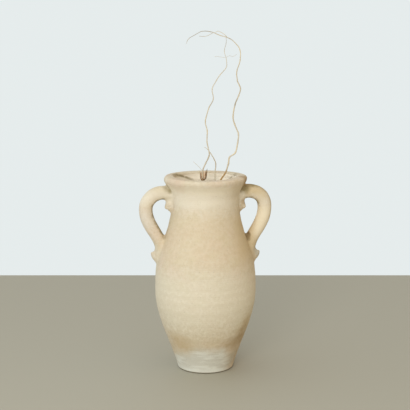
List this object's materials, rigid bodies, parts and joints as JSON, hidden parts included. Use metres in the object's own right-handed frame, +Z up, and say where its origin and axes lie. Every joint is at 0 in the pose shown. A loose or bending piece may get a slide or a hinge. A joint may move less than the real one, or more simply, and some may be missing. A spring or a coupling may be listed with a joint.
{
  "type": "two-handled planter",
  "caption": "Tall fired-clay planter jar with a coiled handle on each side, a flared lip, a drain hole and a filling that holds loose dry stems.",
  "frame": {"origin": "centre of the flat foot, on the surface that the pot stands on", "axes": "+Z up along the turning axis, X through the two handles with the left handle at -X, +Y away from the viewer"},
  "size_m": [0.4748, 0.3632, 1.2097],
  "materials": {
    "fired_clay": "matte cream fired clay with fine throwing lines",
    "shard_clay": "matte broken red clay",
    "gravel": "washed grey gravel",
    "potting_mix": "dry composted bark and fibre",
    "dry_bark": "dry pale brown bark",
    "dry_leaf": "brittle brown leaf"
  },
  "bodies": {
    "pot": {"base_section": "fired_clay", "shoulder_section": "fired_clay", "neck_rim": "fired_clay", "left_handle": "fired_clay", "right_handle": "fired_clay", "drain_shard": "shard_clay", "gravel_bed": "gravel", "potting_soil": "potting_mix"},
    "left_stem": {"left_stem": "dry_bark", "leaf_sheath": "dry_leaf"},
    "middle_stem": {"middle_stem": "dry_bark"},
    "right_stem": {"right_stem": "dry_bark"}
  },
  "joints": [
    {"name": "left_stem_pull", "type": "slide", "parent": "pot", "child": "left_stem", "axis": [0, 0, 1], "range_m": [0, 0.21]},
    {"name": "middle_stem_pull", "type": "slide", "parent": "pot", "child": "middle_stem", "axis": [0, 0, 1], "range_m": [0, 0.21]},
    {"name": "right_stem_pull", "type": "slide", "parent": "pot", "child": "right_stem", "axis": [0, 0, 1], "range_m": [0, 0.21]}
  ]
}
